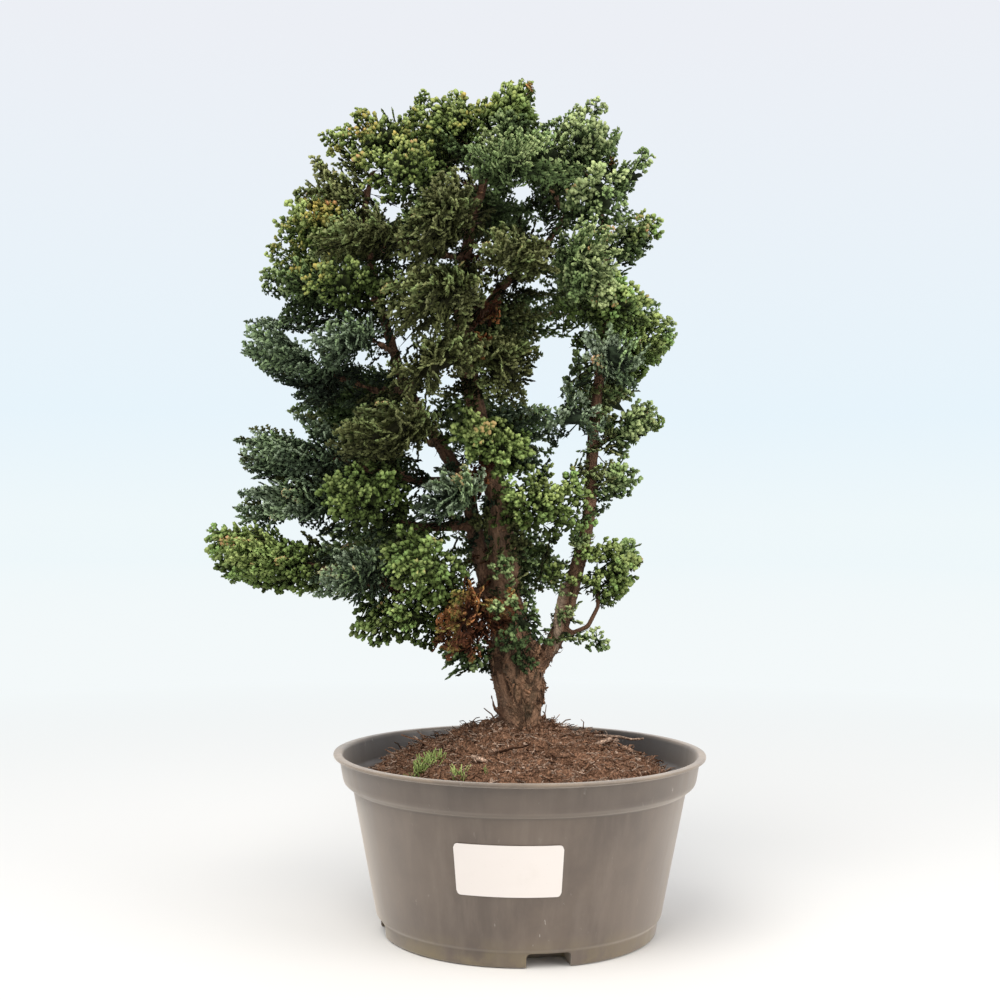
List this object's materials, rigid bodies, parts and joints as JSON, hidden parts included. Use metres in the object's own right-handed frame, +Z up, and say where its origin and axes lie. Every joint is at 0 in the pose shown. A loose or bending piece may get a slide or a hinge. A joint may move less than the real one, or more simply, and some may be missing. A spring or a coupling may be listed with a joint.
{
  "type": "hinoki cypress bonsai in a nursery pot",
  "caption": "Small dense hinoki cypress bonsai with forked trunk and scale-leaf sprays, rooted in a mound of bark soil in a round plastic nursery pot with a blank label.",
  "frame": {"origin": "centre of the pot's flat underside, on the surface it stands on", "axes": "+Z up along the pot's axis; -Y towards the viewer, the side with the label; +X to the viewer's right"},
  "size_m": [0.2951, 0.22, 0.5085],
  "materials": {
    "pot": "dusty dark grey moulded plastic",
    "label": "satin white film",
    "soil": "coarse fibrous bark soil",
    "bark": "rough fibrous bark",
    "foliage_bright": "fresh yellow-green scale leaves",
    "foliage_green": "mid green scale leaves",
    "foliage_blue": "blue-green scale leaves",
    "foliage_olive": "old olive scale leaves",
    "foliage_rust": "dead rust-brown scale leaves"
  },
  "bodies": {
    "root": {"pot": "pot", "label": "label", "soil": "soil", "wood": "bark", "spray_low_left_tip": "foliage_bright", "spray_low_left_middle": "foliage_blue", "spray_low_left_under": "foliage_bright", "spray_low_left_front": "foliage_bright", "spray_mid_left_tip": "foliage_blue", "spray_mid_left_front": "foliage_bright", "spray_high_left_tip": "foliage_blue", "spray_high_left_front": "foliage_olive", "spray_left_shoulder_tip": "foliage_blue", "spray_left_shoulder_inner": "foliage_olive", "spray_left_shoulder_front": "foliage_blue", "spray_upper_left_tip": "foliage_green", "spray_upper_left_front": "foliage_bright", "spray_left_crown_tip": "foliage_bright", "spray_left_crown_front": "foliage_olive", "spray_left_crown_end": "foliage_olive", "spray_left_crown_top": "foliage_bright", "spray_left_crown_inner": "foliage_bright", "spray_top_left": "foliage_bright", "spray_top_tip": "foliage_bright", "spray_top_front": "foliage_olive", "spray_centre_upper": "foliage_olive", "spray_centre_lower": "foliage_olive", "spray_centre_right": "foliage_olive", "spray_centre_under": "foliage_olive", "spray_right_crown_top": "foliage_green", "spray_right_crown_sprig": "foliage_green", "spray_right_crown_front": "foliage_green", "spray_upper_right_tip": "foliage_green", "spray_upper_right_inner": "foliage_blue", "spray_upper_right_front": "foliage_bright", "spray_right_shoulder_tip": "foliage_bright", "spray_right_shoulder_front": "foliage_blue", "spray_right_shoulder_inner": "foliage_blue", "spray_mid_right_upper": "foliage_green", "spray_mid_right_lower": "foliage_green", "spray_low_right_tip": "foliage_bright", "spray_low_right_under": "foliage_green", "spray_heart_upper": "foliage_bright", "spray_heart_right": "foliage_bright", "spray_heart_left": "foliage_blue", "spray_fork_front": "foliage_green", "spray_fork_left": "foliage_green", "spray_fork_dead": "foliage_rust", "spray_back_low_left": "foliage_green", "spray_back_mid_left": "foliage_green", "spray_back_high_left": "foliage_green", "spray_back_left_crown": "foliage_green", "spray_back_top": "foliage_bright", "spray_back_crown": "foliage_green", "spray_back_upper": "foliage_green", "spray_back_right_crown": "foliage_green", "spray_back_right_shoulder": "foliage_green", "spray_back_mid_right": "foliage_green", "spray_back_middle": "foliage_green", "spray_back_low": "foliage_green"}
  },
  "joints": []
}
